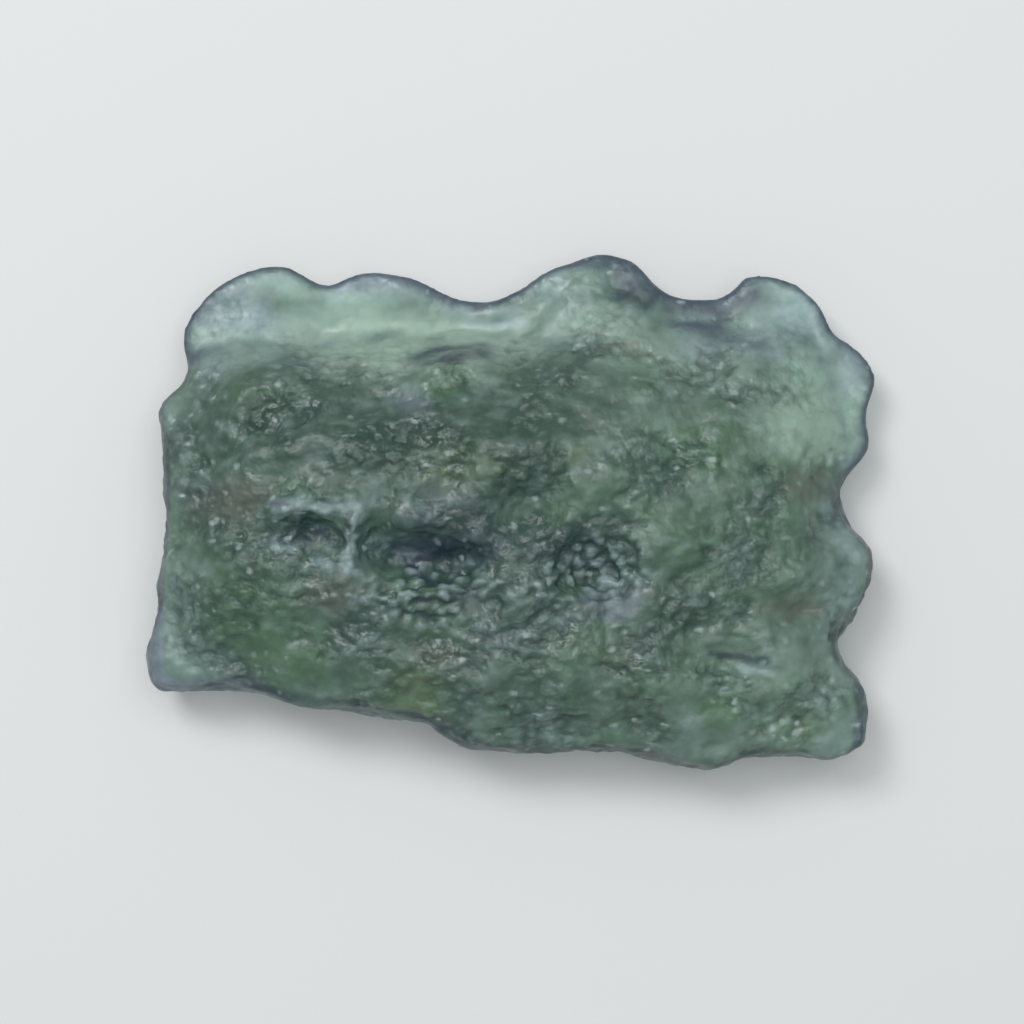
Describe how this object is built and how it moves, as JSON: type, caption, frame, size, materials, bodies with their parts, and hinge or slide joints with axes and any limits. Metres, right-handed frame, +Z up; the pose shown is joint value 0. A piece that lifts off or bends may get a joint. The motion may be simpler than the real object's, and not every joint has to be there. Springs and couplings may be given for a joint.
{
  "type": "raw moldavite",
  "caption": "Flat raw piece of translucent green natural glass with a scalloped edge, a thin upper lip and etched, pitted faces.",
  "frame": {"origin": "middle of the bounding box in plan, at the resting plane of the underside", "axes": "+X along the length, +Y across it towards the thin lip, +Z up out of the resting surface"},
  "size_m": [0.032, 0.0226, 0.007],
  "materials": {
    "moldavite_glass": "natural etched glass, satin with glossy pits, cloudy green, paler where it is thin"
  },
  "bodies": {
    "root": {"moldavite": "moldavite_glass"}
  },
  "joints": []
}
